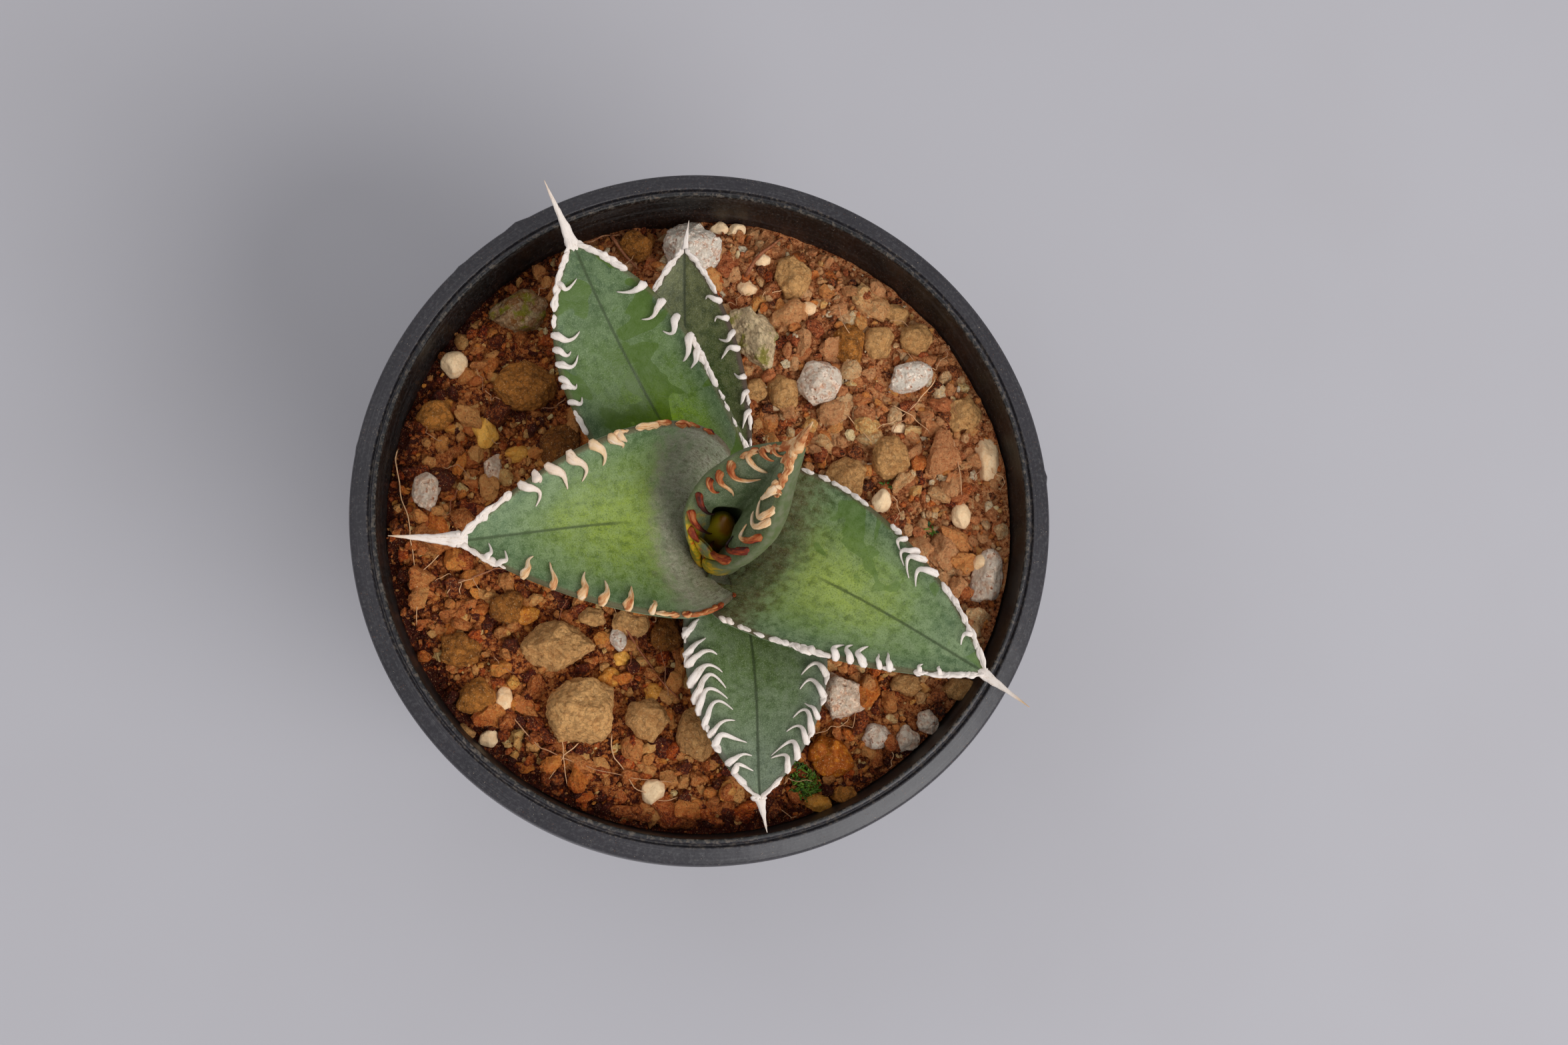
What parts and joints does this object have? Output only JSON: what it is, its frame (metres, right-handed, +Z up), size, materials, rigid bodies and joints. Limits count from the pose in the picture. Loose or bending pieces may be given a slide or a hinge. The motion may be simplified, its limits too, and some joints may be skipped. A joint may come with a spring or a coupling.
{
  "type": "potted agave oteroi",
  "caption": "Young succulent rosette of broad pointed leaves with hooked pale margin teeth, growing in gritty soil in a round tapered nursery pot.",
  "frame": {"origin": "on the surface that the pot stands on, under the centre of the pot", "axes": "+Z up, +Y towards the lowest dark leaf and the side that the heart leaf leans away from the viewer, -X towards the widest leaf's spine"},
  "size_m": [0.09, 0.09, 0.1075],
  "materials": {
    "leaf_young": "satin",
    "leaf_green": "satin",
    "leaf_wet": "gloss",
    "leaf_blue": "satin",
    "leaf_dark": "gloss",
    "bud": "satin",
    "horn": "matte",
    "stem": "matte",
    "tan_clay": "matte",
    "brown_clay": "matte",
    "pumice": "matte",
    "cream_clay": "matte",
    "mossy_stone": "matte",
    "orange_bead": "satin",
    "soil": "matte",
    "pot": "satin"
  },
  "bodies": {
    "root": {"leaf_heart": "leaf_young", "leaf_west": "leaf_green", "leaf_south_east": "leaf_green", "leaf_north_west": "leaf_wet", "leaf_south": "leaf_blue", "leaf_north": "leaf_dark", "teeth_heart": "horn", "teeth_west": "horn", "teeth_south_east": "horn", "teeth_north_west": "horn", "teeth_south": "horn", "teeth_north": "horn", "leaf_bud": "bud", "stem": "stem", "stone_clay_a": "tan_clay", "stone_clay_b": "tan_clay", "stone_clay_c": "tan_clay", "stone_clay_d": "tan_clay", "stone_clay_e": "tan_clay", "stone_clay_f": "tan_clay", "stone_clay_g": "tan_clay", "stone_clay_h": "tan_clay", "stone_clay_i": "tan_clay", "stone_clay_j": "tan_clay", "stone_clay_k": "tan_clay", "stone_brown_a": "brown_clay", "stone_brown_b": "brown_clay", "stone_brown_c": "brown_clay", "stone_brown_d": "brown_clay", "stone_brown_e": "brown_clay", "stone_pumice_a": "pumice", "stone_pumice_b": "pumice", "stone_pumice_c": "pumice", "stone_pumice_d": "pumice", "stone_pumice_e": "pumice", "stone_pumice_f": "pumice", "stone_pumice_g": "pumice", "stone_cream_a": "cream_clay", "stone_cream_b": "cream_clay", "stone_cream_c": "cream_clay", "stone_mossy_a": "mossy_stone", "stone_mossy_b": "mossy_stone", "stone_orange_a": "orange_bead", "stone_orange_b": "orange_bead", "soil": "soil", "pot": "pot"}
  },
  "joints": []
}
